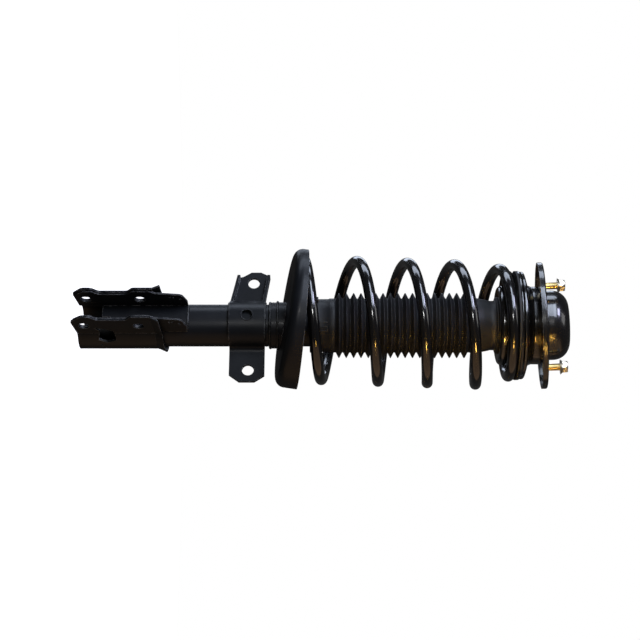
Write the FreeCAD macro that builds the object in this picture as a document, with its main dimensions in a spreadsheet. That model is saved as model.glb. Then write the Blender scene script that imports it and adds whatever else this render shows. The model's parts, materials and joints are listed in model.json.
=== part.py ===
"""MacPherson strut assembly, in millimetres.

+Z runs up the damper axis to the top mount.  The origin is the centre of the mount flange's upper face.
The knuckle bracket opens towards -Y, and its two plates face +X and -X.
"""

import FreeCAD
import Part
import math
import os
import Sketcher

Vector = FreeCAD.Vector
Rotation = FreeCAD.Rotation
Placement = FreeCAD.Placement

DIMENSIONS = {
    # top mount, in its own frame tilted by mount_tilt about X
    "mount_tilt": 5.0,
    "flange_radius": 76.5,
    "flange_sheet": 3.5,
    "flange_lip_drop": 3.0,
    "dome_radius": 42.0,
    "dome_sheet": 3.0,
    "dome_top": 29.0,
    "dome_hole_radius": 17.0,
    "dome_shoulder": 20.0,
    "cup_radius": 47.0,
    "cup_bore": 31.0,
    "cup_bottom": -18.5,
    "rubber_gap": 0.3,
    "rubber_top": 18.0,
    "rubber_shoulder": 13.0,
    "rubber_lower_radius": 29.5,
    "rubber_bottom": -15.0,
    "sleeve_radius": 12.0,
    "sleeve_bore": 7.1,
    "sleeve_top": 13.0,
    "sleeve_bottom": -18.0,
    # tower studs and their flange nuts
    "stud_circle": 112.0,
    "stud_count": 3,
    "stud_radius": 4.0,
    "stud_knurl_radius": 4.4,
    "stud_thread_radius": 3.6,
    "stud_shank": 14.4,
    "stud_top": 24.3,
    "stud_head_radius": 6.5,
    "stud_head": 2.0,
    "nut_seat": 15.0,
    "nut_across_flats": 13.0,
    "nut_height": 8.8,
    "nut_flange_radius": 9.0,
    "nut_flange": 1.6,
    # piston rod and what is held on it
    "rod_radius": 11.0,
    "rod_thread_radius": 7.0,
    "rod_shoulder": -20.2,
    "rod_top": 28.0,
    "rod_piston_shoulder": -311.9,
    "rod_tail_radius": 5.0,
    "rod_bottom": -344.0,
    "washer_radius": 17.0,
    "washer_sheet": 3.0,
    "rod_nut_across_flats": 22.0,
    "rod_nut_height": 11.0,
    "stop_plate_radius": 22.0,
    "stop_plate_sheet": 2.0,
    "bump_top": -20.4,
    "bump_bottom": -122.0,
    "bump_radius": 22.0,
    "bump_waist_radius": 17.5,
    "bump_nose_radius": 16.0,
    "bump_bore": 11.3,
    "bump_rings": 3,
    # strut bearing
    "ball_circle_radius": 37.5,
    "ball_radius": 3.0,
    "ball_count": 24,
    "ball_height": -25.4,
    "cage_half_width": 5.0,
    "cage_half_height": 0.9,
    "race_inner": 31.5,
    "race_outer": 44.4,
    "lower_race_bottom": -54.8,
    "lower_race_top": -26.7,
    "upper_race_top": -19.1,
    "upper_race_bottom": -24.1,
    "race_clearance": 0.05,
    # upper spring seat
    "seat_sheet": 3.0,
    "seat_hole_radius": 27.0,
    "seat_cup_radius": 48.0,
    "seat_cup_end": -58.0,
    "seat_ledge_top": -31.8,
    "seat_ledge_radius": 66.0,
    "cover_top": -18.7,
    "cover_waist": -22.2,
    "cover_bottom": -30.2,
    "cover_radius": 65.0,
    "cover_crown_radius": 47.6,
    "cover_hole_radius": 44.9,
    "cover_brim": 3.0,
    "upper_pad_sheet": 2.4,
    "upper_pad_inner": 50.4,
    # coil spring, along an axis leaning by spring_lean from the damper axis
    "spring_wire_radius": 6.75,
    "spring_mean_radius": 71.6,
    "spring_end_radius": 60.7,
    "spring_lean": 4.05,
    "spring_pivot": -60.0,
    "spring_rest_gap": 0.3,
    # dust boot
    "boot_wall": 1.8,
    "boot_cuff_radius": 32.8,
    "boot_cuff_bottom": -284.0,
    "boot_cuff_top": -253.2,
    "boot_peak_radius": 39.5,
    "boot_valley_radius": 32.5,
    "boot_folds": 18,
    "boot_bellows_top": -93.0,
    "boot_shoulder_radius": 34.2,
    "boot_shoulder_low": -88.5,
    "boot_shoulder_high": -84.0,
    "boot_neck_radius": 29.9,
    "boot_neck_top": -66.0,
    "boot_flange_radius": 34.5,
    "boot_flange_top": -58.3,
    "boot_flange_sheet": 2.0,
    # strut tube and damper inside
    "tube_radius": 25.4,
    "tube_wall": 2.0,
    "tube_bottom": -512.0,
    "tube_top": -254.0,
    "end_cup_top": -500.0,
    "end_cup_sheet": 3.0,
    "pressure_tube_bore": 16.0,
    "pressure_tube_wall": 1.5,
    "pressure_tube_bottom": -498.0,
    "pressure_tube_top": -282.1,
    "valve_flange_radius": 20.0,
    "valve_bottom": -508.8,
    "valve_top": -491.0,
    "guide_top": -262.0,
    "guide_step": -282.0,
    "guide_bottom": -290.0,
    "guide_bore": 12.6,
    "bushing_bore": 11.03,
    "bushing_bottom": -286.0,
    "bushing_top": -264.0,
    "seal_bottom": -261.9,
    "seal_top": -254.2,
    "seal_bore": 11.02,
    "slip": 0.03,
    "rebound_radius": 15.0,
    "rebound_bottom": -303.0,
    "rebound_top": -290.6,
    "piston_radius": 15.6,
    "piston_bottom": -330.0,
    "piston_top": -312.0,
    "band_radius": 15.95,
    "band_bottom": -325.0,
    "band_top": -317.0,
    "band_depth": 1.6,
    "piston_nut_across_flats": 17.0,
    "piston_nut_height": 9.0,
    "piston_nut_top": -330.1,
    "cap_radius": 30.5,
    "cap_bottom": -275.0,
    "cap_top": -248.0,
    "cap_sheet": 4.0,
    "cap_bore": 12.5,
    # collar and lower spring seat; the pan has its own frame, moved and tilted
    "collar_radius": 27.9,
    "collar_bottom": -331.0,
    "collar_top": -322.1,
    "pan_height": -298.8,
    "pan_offset": -18.0,
    "pan_tilt": 10.0,
    "pan_tilt_heading": 57.0,
    "pan_radius": 84.0,
    "pan_sheet": 3.0,
    "pan_floor": -12.5,
    "pan_corner": 11.0,
    "pan_rim_top": 22.0,
    "rim_height": -292.6,
    "rim_tilt": 6.0,
    "rim_tilt_heading": 60.0,
    "neck_radius": 28.2,
    "neck_bottom": -322.0,
    "neck_top": -305.0,
    "lower_pad_sheet": 2.2,
    "lower_pad_inner": 65.0,
    "lower_pad_outer": 73.0,
    # ear bracket
    "ear_sheet": 4.0,
    "ear_plane": 5.3,
    "ear_pitch": 58.7,
    "ear_hole_radius": 7.1,
    "ear_reach": 73.7,
    "ear_bottom": -380.5,
    "ear_top": -338.0,
    "ear_lean": 7.0,
    "ear_bend": 7.0,
    "ear_hole_plus": -357.8,
    "ear_hole_minus": -352.6,
    "ear_flange_height": 9.0,
    "ear_flange_sheet": 3.5,
    "ear_window_radius": 6.5,
    # knuckle bracket: outer layer and liner
    "bracket_sheet": 2.5,
    "bracket_half_width": 20.0,
    "liner_sheet": 2.0,
    "fit_gap": 0.05,
    "bracket_bottom": -566.0,
    "bracket_top": -464.0,
    "flare_height": 11.0,
    "flare_root": 2.5,
    "flare_inset": 0.6,
    "flare_out": 4.5,
    "flare_tilt": 4.3,
    "plate_tip": -60.0,
    "plate_dip": -52.5,
    "liner_tip": -57.5,
    "liner_end": -430.0,
    "knuckle_hole_radius": 6.6,
    "knuckle_hole_line": -38.3,
    "knuckle_hole_low": -551.0,
    "knuckle_hole_high": -486.5,
    "locating_hole_radius": 1.4,
}

# Heights of the wire's centre along the spring's axis, at each half turn after the first whole one.
COIL_STATIONS = [-268.1, -230.5, -199.7, -169.5, -140.3, -112.3, -81.8, -56.8]
COIL_TURNS = 5.5
ON_PAN = 0.5
ON_LEDGE = 5.0
COIL_DRAWN_FROM = 4.2
COIL_HEADING = math.radians(27.0)

doc = FreeCAD.newDocument("StrutAssembly")
sheet = doc.addObject("Spreadsheet::Sheet", "Sizes")
for row, (alias, number) in enumerate(DIMENSIONS.items(), 1):
    sheet.set(f"A{row}", alias)
    sheet.set(f"B{row}", str(number))
    sheet.setAlias(f"B{row}", alias)
doc.recompute()

nodes = []


class Size:
    """A length that carries its value and the sheet expression it is worked out from."""

    def __init__(self, value, text):
        self.value = value
        self.text = text

    def __add__(self, other):
        other = sized(other)
        return Size(self.value + other.value, f"({self.text} + {other.text})")

    def __sub__(self, other):
        other = sized(other)
        return Size(self.value - other.value, f"({self.text} - {other.text})")

    def __mul__(self, other):
        other = sized(other)
        return Size(self.value * other.value, f"({self.text} * {other.text})")

    def __truediv__(self, other):
        other = sized(other)
        return Size(self.value / other.value, f"({self.text} / {other.text})")

    def __neg__(self):
        return Size(-self.value, f"(0 - {self.text})")


def sized(number):
    """The number as a Size, unless it is one already."""
    if isinstance(number, Size):
        return number
    return Size(float(number), f"({number})")


def of(alias):
    """The named dimension as a Size."""
    return Size(float(DIMENSIONS[alias]), f"Sizes.{alias}")


def leg(hypotenuse, other_leg):
    """The second leg of a right triangle."""
    inside = hypotenuse * hypotenuse - other_leg * other_leg
    return Size(math.sqrt(inside.value), f"sqrt({inside.text})")


def bind(thing, **sizes):
    """Binds each property of the object to its size in the sheet."""
    for prop, size in sizes.items():
        size = sized(size)
        setattr(thing, prop, size.value)
        thing.setExpression(prop, size.text)
    return thing


def node(thing, name):
    """Registers the object as a sub-part under its own name."""
    thing.Label = name
    nodes.append(thing)
    return thing


def tilted(angle, heading=-90.0, base=Vector(0, 0, 0)):
    """A placement at base whose Z axis leans by angle towards the heading, in degrees from +X."""
    side = Rotation(Vector(0, 0, 1), heading).multVec(Vector(0, 1, 0))
    return Placement(base, Rotation(side, angle))


MOUNT = tilted(of("mount_tilt").value)
PAN = tilted(
    of("pan_tilt").value,
    of("pan_tilt_heading").value,
    Vector(0, of("pan_offset").value, of("pan_height").value),
)
RIM = tilted(
    of("rim_tilt").value,
    of("rim_tilt_heading").value,
    Vector(0, of("pan_offset").value, of("rim_height").value),
)
SPRING = tilted(of("spring_lean").value, 90.0, Vector(0, 0, of("spring_pivot").value))


# ---------------------------------------------------------------- building blocks


def sketch_on(body, role, name):
    """A sketch on one of the body's own origin planes."""
    plane = next(f for f in body.Origin.OriginFeatures if f.Role == role)
    sketch = body.newObject("Sketcher::SketchObject", name)
    sketch.AttachmentSupport = [(plane, "")]
    sketch.MapMode = "FlatFace"
    return sketch


def pin(sketch, edge, end, corner):
    """Holds one end of an edge at its place, given as two sizes from the sketch's origin."""
    for kind, size in zip(("DistanceX", "DistanceY"), corner):
        number = sketch.addConstraint(Sketcher.Constraint(kind, -1, 1, edge, end, size.value))
        sketch.setExpression(f"Constraints[{number}]", size.text)


def outline(sketch, corners, bulges=()):
    """A closed outline.  bulges maps a corner's index to the middle point of the arc that leaves it."""
    bulges = dict(bulges)
    corners = [(sized(across), sized(up)) for across, up in corners]
    places = [Vector(across.value, up.value, 0) for across, up in corners]
    count = len(corners)
    first = sketch.GeometryCount
    starts = {}
    for i in range(count):
        here, there = places[i], places[(i + 1) % count]
        if i in bulges:
            middle = Vector(bulges[i][0], bulges[i][1], 0)
            arc = Part.Arc(here, middle, there)
            edge = sketch.addGeometry(arc, False)
            ends = (sketch.getPoint(edge, 1), sketch.getPoint(edge, 2))
            starts[i] = 1 if (ends[0] - here).Length < (ends[1] - here).Length else 2
        else:
            sketch.addGeometry(Part.LineSegment(here, there), False)
            starts[i] = 1
    for i in range(count):
        follower = (i + 1) % count
        end = 3 - starts[i]
        sketch.addConstraint(
            Sketcher.Constraint("Coincident", first + i, end, first + follower, starts[follower])
        )
        pin(sketch, first + i, starts[i], corners[i])
        if i in bulges:
            sketch.addConstraint(Sketcher.Constraint("PointOnObject", first + i, 3, -1))


def new_body(name):
    """An empty body."""
    return doc.addObject("PartDesign::Body", name)


def turned(name, corners):
    """A body turned about Z from an outline of (radius, height) corners."""
    body = new_body(name)
    sketch = sketch_on(body, "XZ_Plane", name + "_section")
    outline(sketch, corners)
    turn = body.newObject("PartDesign::Revolution", name + "_turn")
    turn.Profile = sketch
    turn.ReferenceAxis = (sketch, ["V_Axis"])
    turn.Angle = 360
    doc.recompute()
    return body


def ring(name, inner, outer, bottom, top):
    """A plain ring about Z."""
    return turned(name, [(inner, bottom), (outer, bottom), (outer, top), (inner, top)])


def rounded(body, points, radius):
    """Rounds the body's edges that pass closest to the points, which are in the body's own frame."""
    base = body.Tip
    edges = base.Shape.Edges
    names = set()
    for point in points:
        spot = Part.Vertex(point)
        closest = min(range(len(edges)), key=lambda i: edges[i].distToShape(spot)[0])
        names.add(f"Edge{closest + 1}")
    fillet = body.newObject("PartDesign::Fillet", body.Name + "_round")
    fillet.Base = (base, sorted(names))
    bind(fillet, Radius=radius)
    body.Tip = fillet
    doc.recompute()
    return body


def at_radius(radius, height):
    """A point on a turned body's edge, away from its seam."""
    return Vector(0, sized(radius).value, sized(height).value)


def plate_outline(name, role, corners, half_depth):
    """A straight-sided blank with this outline, as deep on both sides of its plane."""
    body = new_body(name)
    sketch = sketch_on(body, role, name + "_outline")
    outline(sketch, corners)
    pad = body.newObject("PartDesign::Pad", name + "_pad")
    pad.Profile = sketch
    pad.Midplane = True
    bind(pad, Length=sized(half_depth) * 2)
    doc.recompute()
    return body


def cylinder(name, radius, bottom, top):
    """A cylinder about Z."""
    solid = doc.addObject("Part::Cylinder", name)
    bind(solid, Radius=radius, Height=sized(top) - sized(bottom))
    solid.Placement = Placement(Vector(0, 0, sized(bottom).value), Rotation())
    solid.setExpression("Placement.Base.z", sized(bottom).text)
    return solid


def drill(name, radius, reach, centre, axis):
    """A cylinder that reaches as far on both sides of its centre, to cut a hole with."""
    solid = doc.addObject("Part::Cylinder", name)
    bind(solid, Radius=radius, Height=sized(reach) * 2)
    turn = Rotation(Vector(0, 0, 1), axis)
    start = centre - axis * sized(reach).value
    solid.Placement = Placement(start, turn)
    return solid


def hexagon(name, across_flats, bottom, height):
    """A six-sided prism about Z."""
    prism = doc.addObject("Part::Prism", name)
    prism.Polygon = 6
    half_angle = math.cos(math.pi / 6)
    bind(prism, Circumradius=sized(across_flats) / 2 / round(half_angle, 6), Height=height)
    prism.Placement = Placement(Vector(0, 0, sized(bottom).value), Rotation())
    return prism


def boolean(kind, name, base, tool):
    """One boolean operation on two objects."""
    result = doc.addObject("Part::" + kind, name)
    result.Base = base
    result.Tool = tool
    return result


def less(name, base, *tools):
    """The base with every tool cut from it."""
    for number, tool in enumerate(tools):
        base = boolean("Cut", f"{name}_cut{number}", base, tool)
    return base


def joined(name, *pieces):
    """The pieces fused together."""
    fusion = doc.addObject("Part::MultiFuse", name)
    fusion.Shapes = list(pieces)
    return fusion


def together(name, pieces):
    """Separate solids kept as one group."""
    group = doc.addObject("Part::Compound", name)
    group.Links = list(pieces)
    return group


def moved(thing, placement):
    """Places the object in its own frame, after any place it has in that frame."""
    thing.setExpression("Placement.Base.z", None)
    thing.Placement = placement.multiply(thing.Placement)
    return thing


# ---------------------------------------------------------------- top mount


def make_mount_flange():
    """Round flange with a turned-down lip and a dome, pressed from one sheet."""
    sheet_up = of("flange_sheet")
    wall = of("dome_radius") - of("dome_sheet")
    under_dome = of("dome_top") - of("dome_sheet")
    lip = of("flange_radius") - of("flange_sheet")
    body = turned(
        "mount_flange",
        [
            (wall, -sheet_up),
            (lip, -sheet_up),
            (lip, -sheet_up - of("flange_lip_drop")),
            (of("flange_radius"), -sheet_up - of("flange_lip_drop")),
            (of("flange_radius"), 0),
            (of("dome_radius"), 0),
            (of("dome_radius"), of("dome_top")),
            (of("dome_hole_radius"), of("dome_top")),
            (of("dome_hole_radius"), under_dome),
            (wall, under_dome),
        ],
    )
    rounded(body, [at_radius(of("dome_radius"), of("dome_top"))], of("dome_shoulder"))
    rounded(body, [at_radius(wall, under_dome)], of("dome_shoulder") - of("dome_sheet"))
    rounded(body, [at_radius(of("dome_radius"), 0)], 3)
    rounded(body, [at_radius(of("flange_radius"), 0)], 2)
    moved(body, MOUNT)
    holes = []
    for number in range(int(of("stud_count").value)):
        hole = cylinder(f"stud_hole{number}", of("stud_knurl_radius") + of("fit_gap"), -10, 10)
        holes.append(moved(hole, stud_place(number)))
    return node(less("mount_flange", body, *holes), "mount_flange_plate")


def stud_place(number):
    """Where a tower stud stands: the first one is on +X."""
    share = 360.0 * number / of("stud_count").value
    radius = of("stud_circle").value / 2
    spot = Rotation(Vector(0, 0, 1), share).multVec(Vector(radius, 0, 0))
    return MOUNT.multiply(Placement(spot, Rotation()))


def make_tower_studs():
    """Press-in studs, each with a head, a knurl in the flange, a plain shank and a rolled thread."""
    studs = []
    for number in range(int(of("stud_count").value)):
        stud = turned(
            f"stud{number}",
            [
                (0, -of("flange_sheet") - of("stud_head")),
                (of("stud_head_radius"), -of("flange_sheet") - of("stud_head")),
                (of("stud_head_radius"), -of("flange_sheet")),
                (of("stud_knurl_radius"), -of("flange_sheet")),
                (of("stud_knurl_radius"), 0),
                (of("stud_radius"), 0),
                (of("stud_radius"), of("stud_shank")),
                (of("stud_thread_radius"), of("stud_shank")),
                (of("stud_thread_radius"), of("stud_top") - 1),
                (of("stud_thread_radius") - 1, of("stud_top")),
                (0, of("stud_top")),
            ],
        )
        studs.append(moved(stud, stud_place(number)))
    return node(together("studs", studs), "tower_studs")


def make_flange_nut(name, across_flats, seat, height, flange_radius, flange, bore):
    """A hexagon nut with a round flange under it."""
    prism = hexagon(name + "_hex", across_flats, seat, height)
    crown = doc.addObject("Part::Cone", name + "_crown")
    bind(crown, Radius1=across_flats * 0.75, Radius2=across_flats / 2 - 0.2, Height=height)
    crown.Placement = Placement(Vector(0, 0, sized(seat).value), Rotation())
    body = boolean("Common", name + "_body", prism, crown)
    skirt = doc.addObject("Part::Cone", name + "_skirt")
    bind(skirt, Radius1=flange_radius, Radius2=sized(across_flats) / 2, Height=flange * 2)
    skirt.Placement = Placement(Vector(0, 0, sized(seat).value), Rotation())
    hole = cylinder(name + "_bore", bore, seat - 1, seat + height + 1)
    return less(name, joined(name + "_blank", body, skirt), hole)


def make_tower_nuts():
    """Flange nuts run onto the ends of the tower studs."""
    nuts = []
    for number in range(int(of("stud_count").value)):
        nut = make_flange_nut(
            f"tower_nut{number}",
            of("nut_across_flats"),
            of("nut_seat"),
            of("nut_height"),
            of("nut_flange_radius"),
            of("nut_flange"),
            of("stud_thread_radius") + of("slip"),
        )
        nuts.append(moved(nut, stud_place(number)))
    return node(together("nuts", nuts), "tower_nuts")


def half_space(name, height):
    """A block that covers everything above a height."""
    block = doc.addObject("Part::Box", name)
    reach = of("flange_radius") * 4
    bind(block, Length=reach, Width=reach, Height=60)
    half = reach.value / 2
    block.Placement = Placement(Vector(-half, -half, sized(height).value), Rotation())
    return block


def make_mount_lower_cup():
    """Housing under the flange: square to the damper below, square to the flange above."""
    blank = ring("lower_cup", of("cup_bore"), of("cup_radius"), of("cup_bottom"), 12)
    rounded(blank, [at_radius(of("cup_radius"), of("cup_bottom"))], 2)
    above = moved(half_space("above_flange", -of("flange_sheet")), MOUNT)
    return node(less("mount_lower_cup", blank, above), "mount_lower_cup")


def make_mount_rubber():
    """Rubber that fills the dome and the cup around the inner sleeve."""
    gap = of("rubber_gap")
    radius = of("dome_radius") - of("dome_sheet") - gap
    upper = ring("rubber_upper", 2, radius, -of("flange_sheet"), of("rubber_top"))
    rounded(upper, [at_radius(radius, of("rubber_top"))], of("rubber_shoulder"))
    moved(upper, MOUNT)
    lower = ring("rubber_lower", 2, of("rubber_lower_radius"), of("rubber_bottom"), 0)
    bore = cylinder("rubber_bore", of("sleeve_radius") + of("fit_gap"), -50, 50)
    recess = cylinder("washer_recess", of("washer_radius") + 0.5, of("sleeve_top") - 0.2, 60)
    blank = joined("rubber_blank", upper, lower)
    return node(less("mount_rubber", blank, bore, recess), "mount_rubber")


def make_mount_sleeve():
    """Steel sleeve in the rubber, clamped on the rod."""
    sleeve = ring(
        "mount_sleeve", of("sleeve_bore"), of("sleeve_radius"), of("sleeve_bottom"), of("sleeve_top")
    )
    return node(sleeve, "mount_inner_sleeve")


def make_rod_fixings():
    """Washer and nut on the rod's upper end, and the plate over the bump stop."""
    seat = of("sleeve_top")
    washer = ring(
        "washer", of("sleeve_bore"), of("washer_radius"), seat, seat + of("washer_sheet")
    )
    node(washer, "rod_washer")
    nut_seat = seat + of("washer_sheet")
    prism = hexagon("rod_nut_hex", of("rod_nut_across_flats"), nut_seat, of("rod_nut_height"))
    bore = cylinder("rod_nut_bore", of("rod_thread_radius") + of("slip"), nut_seat - 1, nut_seat + 20)
    node(less("rod_nut", prism, bore), "rod_nut")
    plate = ring(
        "stop_plate",
        of("rod_thread_radius") + of("slip"),
        of("stop_plate_radius"),
        of("sleeve_bottom") - of("stop_plate_sheet"),
        of("sleeve_bottom"),
    )
    node(plate, "bump_stop_plate")


def make_piston_rod():
    """Chromed rod with a threaded top and a reduced tail for the piston."""
    tail = of("rod_tail_radius")
    return node(
        turned(
            "rod",
            [
                (0, of("rod_bottom")),
                (tail, of("rod_bottom")),
                (tail, of("rod_piston_shoulder")),
                (of("rod_radius"), of("rod_piston_shoulder")),
                (of("rod_radius"), of("rod_shoulder")),
                (of("rod_thread_radius"), of("rod_shoulder")),
                (of("rod_thread_radius"), of("rod_top") - 1.5),
                (of("rod_thread_radius") - 1.5, of("rod_top")),
                (0, of("rod_top")),
            ],
        ),
        "piston_rod",
    )


def make_bump_stop():
    """Foam buffer on the rod, with waists between its rings and a tapered nose."""
    rings = int(of("bump_rings").value)
    step = (of("bump_bottom") - of("bump_top")) / (rings + 1)
    corners = [(of("bump_bore"), of("bump_top")), (of("bump_radius"), of("bump_top"))]
    for number in range(1, rings + 1):
        waist = of("bump_top") + step * number
        corners.append((of("bump_radius"), waist - step * 0.3))
        corners.append((of("bump_waist_radius"), waist))
        corners.append((of("bump_radius") - 1, waist + step * 0.3))
    corners.append((of("bump_nose_radius"), of("bump_bottom")))
    corners.append((of("bump_bore"), of("bump_bottom")))
    return node(turned("bump", corners[::-1]), "bump_stop")


# ---------------------------------------------------------------- strut bearing


def race(name, bottom, top, groove_height):
    """A bearing ring with a ball groove cut in it."""
    blank = ring(name + "_blank", of("race_inner"), of("race_outer"), bottom, top)
    groove = doc.addObject("Part::Torus", name + "_groove")
    bind(groove, Radius1=of("ball_circle_radius"), Radius2=of("ball_radius") + of("race_clearance"))
    groove.Placement = Placement(Vector(0, 0, sized(groove_height).value), Rotation())
    return less(name, blank, groove)


def ball_spot(number):
    """Where a ball sits on its circle."""
    share = 360.0 * number / of("ball_count").value
    spot = Vector(of("ball_circle_radius").value, 0, of("ball_height").value)
    return Rotation(Vector(0, 0, 1), share).multVec(spot)


def make_bearing():
    """Two races, the balls between them and the cage that spaces the balls."""
    height = of("ball_height")
    lower = race("lower_race", of("lower_race_bottom"), of("lower_race_top"), height)
    node(lower, "bearing_lower_race")
    upper = race("upper_race", of("upper_race_bottom"), of("upper_race_top"), height)
    node(upper, "bearing_upper_race")
    balls = []
    pockets = []
    for number in range(int(of("ball_count").value)):
        ball = doc.addObject("Part::Sphere", f"ball{number}")
        bind(ball, Radius=of("ball_radius"))
        ball.Placement = Placement(ball_spot(number), Rotation())
        balls.append(ball)
        pocket = doc.addObject("Part::Sphere", f"pocket{number}")
        bind(pocket, Radius=of("ball_radius") + of("fit_gap"))
        pocket.Placement = Placement(ball_spot(number), Rotation())
        pockets.append(pocket)
    node(together("balls", balls), "bearing_balls")
    half = of("cage_half_width")
    blank = ring(
        "cage_blank",
        of("ball_circle_radius") - half,
        of("ball_circle_radius") + half,
        height - of("cage_half_height"),
        height + of("cage_half_height"),
    )
    cage = boolean("Cut", "cage", blank, together("pockets", pockets))
    node(cage, "bearing_cage")


# ---------------------------------------------------------------- upper spring seat, spring and boot


def make_upper_seat():
    """Pressed seat: a cup around the bearing and a flat brim for the spring."""
    skin = of("seat_sheet")
    ledge = of("seat_ledge_top")
    rim = of("seat_ledge_radius")
    cup = of("seat_cup_radius")
    end = of("seat_cup_end")
    body = turned(
        "upper_seat",
        [
            (of("seat_hole_radius"), end),
            (cup, end),
            (cup, ledge - skin),
            (rim, ledge - skin),
            (rim, ledge),
            (cup - skin, ledge),
            (cup - skin, end + skin),
            (of("seat_hole_radius"), end + skin),
        ],
    )
    rounded(body, [at_radius(cup, end)], 5)
    rounded(body, [at_radius(cup, ledge - skin)], 1.8)
    rounded(body, [at_radius(rim, ledge - skin), at_radius(rim, ledge)], 1.3)
    return node(body, "upper_spring_seat")


def make_bearing_cover():
    """Conical shield fixed under the mount, which covers the bearing and nearly meets the brim."""
    skin = of("seat_sheet")
    top = of("cover_top")
    waist = of("cover_waist")
    brim = of("cover_brim")
    rim = of("cover_radius")
    crown = of("cover_crown_radius")
    hole = of("cover_hole_radius")
    cover = turned(
        "cover",
        [
            (hole, waist - skin),
            (crown, waist - skin),
            (rim - skin - 0.5, of("cover_bottom") + brim - 1.5),
            (rim - skin - 0.5, of("cover_bottom")),
            (rim, of("cover_bottom")),
            (rim, of("cover_bottom") + brim),
            (crown + 1, waist),
            (crown, top),
            (hole, top),
        ],
    )
    rounded(cover, [at_radius(rim, of("cover_bottom") + brim), at_radius(crown + 1, waist)], 2)
    return node(cover, "bearing_cover")


def make_upper_pad():
    """Rubber ring between the ledge and the top coil."""
    top = of("seat_ledge_top") - of("seat_sheet")
    pad = ring(
        "upper_pad",
        of("upper_pad_inner"),
        of("seat_ledge_radius"),
        top - of("upper_pad_sheet"),
        top,
    )
    return node(pad, "upper_spring_pad")


def resting_height(turns, place, clearance):
    """Height along the spring's axis at which the wire lies this far above a plane's XY face."""
    angle = COIL_HEADING + 2 * math.pi * turns
    radius = coil_radius(turns)
    start = SPRING.multVec(Vector(radius * math.cos(angle), radius * math.sin(angle), 0))
    axis = SPRING.Rotation.multVec(Vector(0, 0, 1))
    normal = place.Rotation.multVec(Vector(0, 0, 1))
    return (clearance - normal.dot(start - place.Base)) / normal.dot(axis)


def on_pan(turns):
    """Height of the wire's centre where it lies on the pan's pad."""
    pad_top = of("pan_floor").value + of("lower_pad_sheet").value
    lift = of("spring_wire_radius").value + of("spring_rest_gap").value
    return resting_height(turns, PAN, pad_top + lift)


def on_ledge(turns):
    """Height of the wire's centre where it lies against the upper pad."""
    sheets = of("seat_sheet").value + of("upper_pad_sheet").value
    drop = of("spring_wire_radius").value + of("spring_rest_gap").value
    ledge = Placement(Vector(0, 0, of("seat_ledge_top").value - sheets), Rotation())
    return resting_height(turns, ledge, -drop)


def coil_height(turns):
    """Height of the wire's centre, measured along the spring's axis from its pivot."""
    if turns <= ON_PAN:
        return on_pan(turns)
    if turns >= ON_LEDGE:
        return on_ledge(turns)
    pivot = of("spring_pivot").value
    heights = [on_pan(ON_PAN)] + [height - pivot for height in COIL_STATIONS] + [on_ledge(ON_LEDGE)]
    halves = (turns - ON_PAN) * 2
    number = min(int(halves), len(heights) - 2)
    share = halves - number
    low, high = heights[number], heights[number + 1]
    nudge = 0.01
    leaving = (on_pan(ON_PAN) - on_pan(ON_PAN - nudge)) / nudge / 2
    arriving = (on_ledge(ON_LEDGE + nudge) - on_ledge(ON_LEDGE)) / nudge / 2
    if number:
        leaving = (high - heights[number - 1]) / 2
    if number + 2 < len(heights):
        arriving = (heights[number + 2] - low) / 2
    rise = 3 * share**2 - 2 * share**3
    return (
        low
        + (high - low) * rise
        + leaving * (share**3 - 2 * share**2 + share)
        + arriving * (share**3 - share**2)
    )


def coil_radius(turns):
    """Mean radius of the coil, drawn in before it meets the ledge."""
    share = min(max((turns - COIL_DRAWN_FROM) / (ON_LEDGE - COIL_DRAWN_FROM), 0.0), 1.0)
    drawn = share * share * (3 - 2 * share)
    wide = of("spring_mean_radius").value
    return wide + (of("spring_end_radius").value - wide) * drawn


def make_coil_spring():
    """Right-hand coil spring; each coil's centre follows the axis that leans towards -Y at the bottom."""
    steps = int(COIL_TURNS * 16)
    points = []
    for step in range(steps + 1):
        turns = COIL_TURNS * step / steps
        angle = COIL_HEADING + 2 * math.pi * turns
        radius = coil_radius(turns)
        spot = Vector(radius * math.cos(angle), radius * math.sin(angle), coil_height(turns))
        points.append(spot)
    curve = Part.BSplineCurve()
    curve.interpolate(points)
    path = Part.Wire([curve.toShape()])
    direction = curve.tangent(curve.FirstParameter)[0]
    circle = Part.makeCircle(of("spring_wire_radius").value, points[0], direction)
    sweep = path.makePipeShell([Part.Wire([circle])], True, True)
    wire = doc.addObject("Part::Feature", "spring_wire")
    wire.Shape = sweep
    wire.Placement = SPRING
    return node(wire, "coil_spring")


def boot_profile():
    """Outer corners of the boot from its cuff to its top flange."""
    corners = [
        (of("boot_cuff_radius"), of("boot_cuff_bottom")),
        (of("boot_cuff_radius"), of("boot_cuff_top")),
    ]
    folds = int(of("boot_folds").value)
    pitch = (of("boot_bellows_top") - of("boot_cuff_top")) / folds
    for fold in range(folds):
        start = of("boot_cuff_top") + pitch * fold
        corners.append((of("boot_peak_radius"), start + pitch * 0.5))
        corners.append((of("boot_valley_radius"), start + pitch))
    corners.append((of("boot_shoulder_radius"), of("boot_shoulder_low")))
    corners.append((of("boot_shoulder_radius"), of("boot_shoulder_high")))
    corners.append((of("boot_neck_radius"), of("boot_neck_top")))
    corners.append((of("boot_neck_radius"), of("boot_flange_top") - of("boot_flange_sheet")))
    corners.append((of("boot_flange_radius"), of("boot_flange_top") - of("boot_flange_sheet")))
    corners.append((of("boot_flange_radius"), of("boot_flange_top")))
    return corners


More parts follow.
